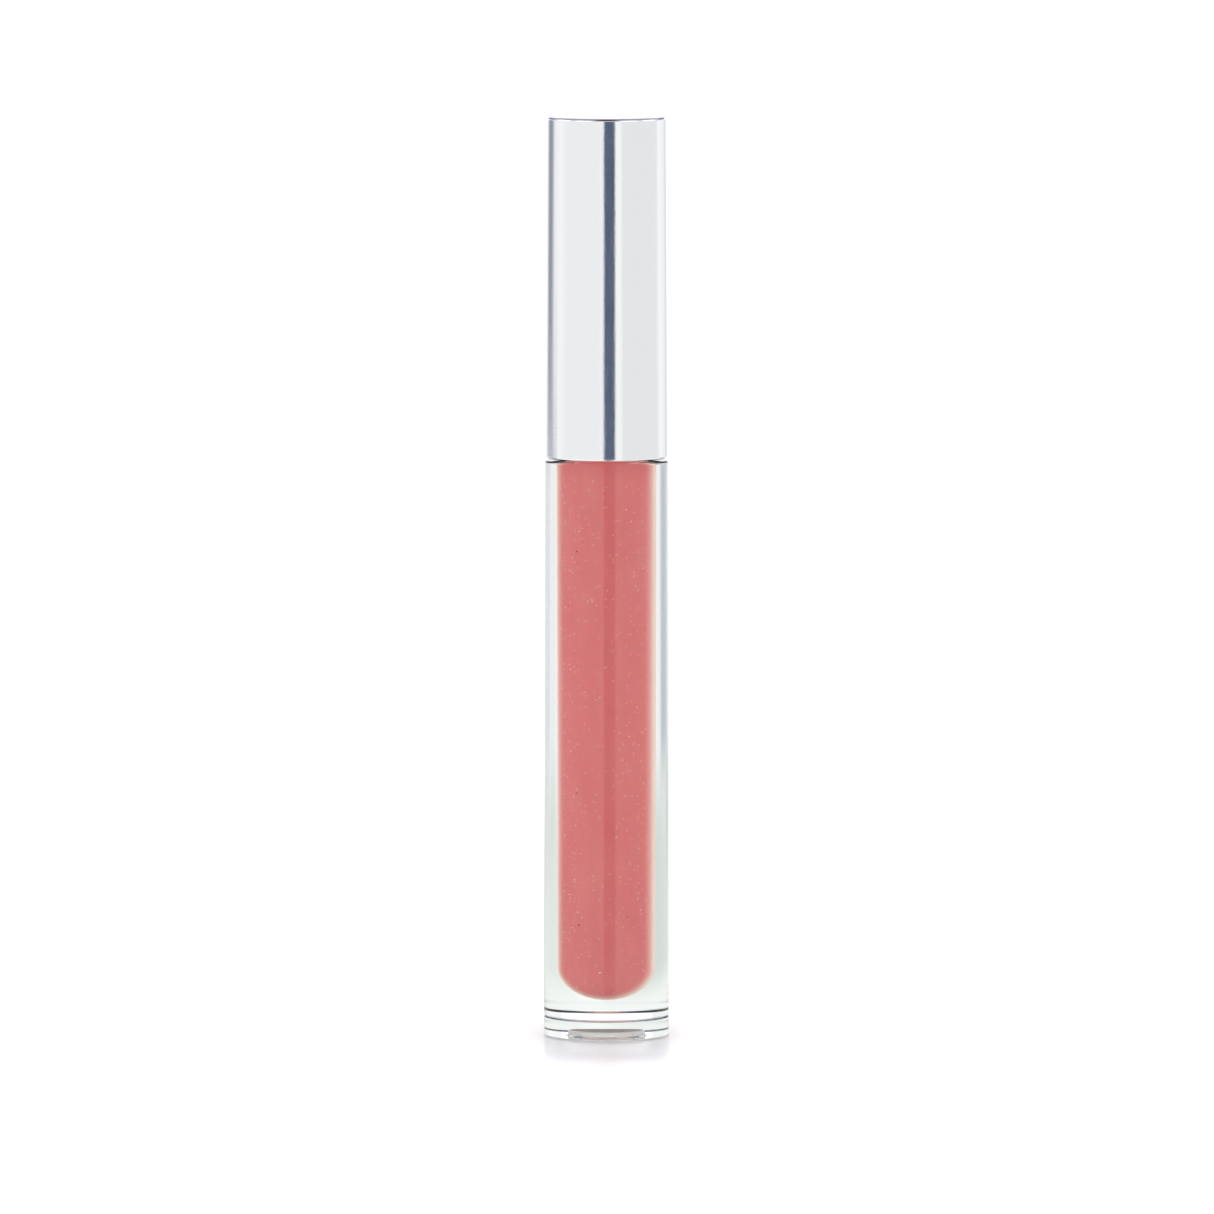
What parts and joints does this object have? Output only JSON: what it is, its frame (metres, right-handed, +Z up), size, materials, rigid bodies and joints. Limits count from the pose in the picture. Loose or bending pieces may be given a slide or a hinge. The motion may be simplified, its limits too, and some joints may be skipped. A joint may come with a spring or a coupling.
{
  "type": "lip gloss tube",
  "caption": "Slim round lip gloss tube: thick clear bottle of pink gloss, tall silver screw cap, and a wand with a flocked slanted tip.",
  "frame": {"origin": "centre of the flat foot that the tube stands on", "axes": "+Z up along the tube, from the foot to the top of the cap; the tube is round, so X and Y are equal, and the camera side is -Y"},
  "size_m": [0.0154, 0.0154, 0.1121],
  "materials": {
    "clear_plastic": "polished clear thick-walled PETG, colourless, very slightly cool",
    "label_film": "blank matt light grey sticker",
    "lip_gloss": "creamy rose-pink gloss with small air bubbles and faint marbling",
    "soft_polyethylene": "translucent natural low-density polyethylene",
    "silver_shell": "bright polished silver, mirror-like, with rounded edges",
    "liner_plastic": "moulded white polypropylene",
    "seal_foam": "soft white closed-cell seal washer",
    "stem_plastic": "smooth natural white rod, wet with gloss below the wiper",
    "flock": "short nylon flock soaked with pink gloss"
  },
  "bodies": {
    "bottle": {"bottle_body": "clear_plastic", "base_plug": "clear_plastic", "base_label": "label_film", "gloss_fill": "lip_gloss", "wiper": "soft_polyethylene"},
    "cap_seal": {"cap_gasket": "seal_foam"},
    "cap": {"cap_overshell": "silver_shell", "cap_liner": "liner_plastic", "wand_stem": "stem_plastic", "doe_foot_tip": "flock"}
  },
  "joints": [
    {"name": "cap_lift", "type": "slide", "parent": "bottle", "child": "cap_seal", "axis": [0, 0, 1], "range_m": [0, 0.08]},
    {"name": "cap_turn", "type": "hinge", "parent": "cap_seal", "child": "cap", "pos_m": [0, 0, 0.0839], "axis": [0, 0, 1], "range_deg": [0, 540]}
  ]
}
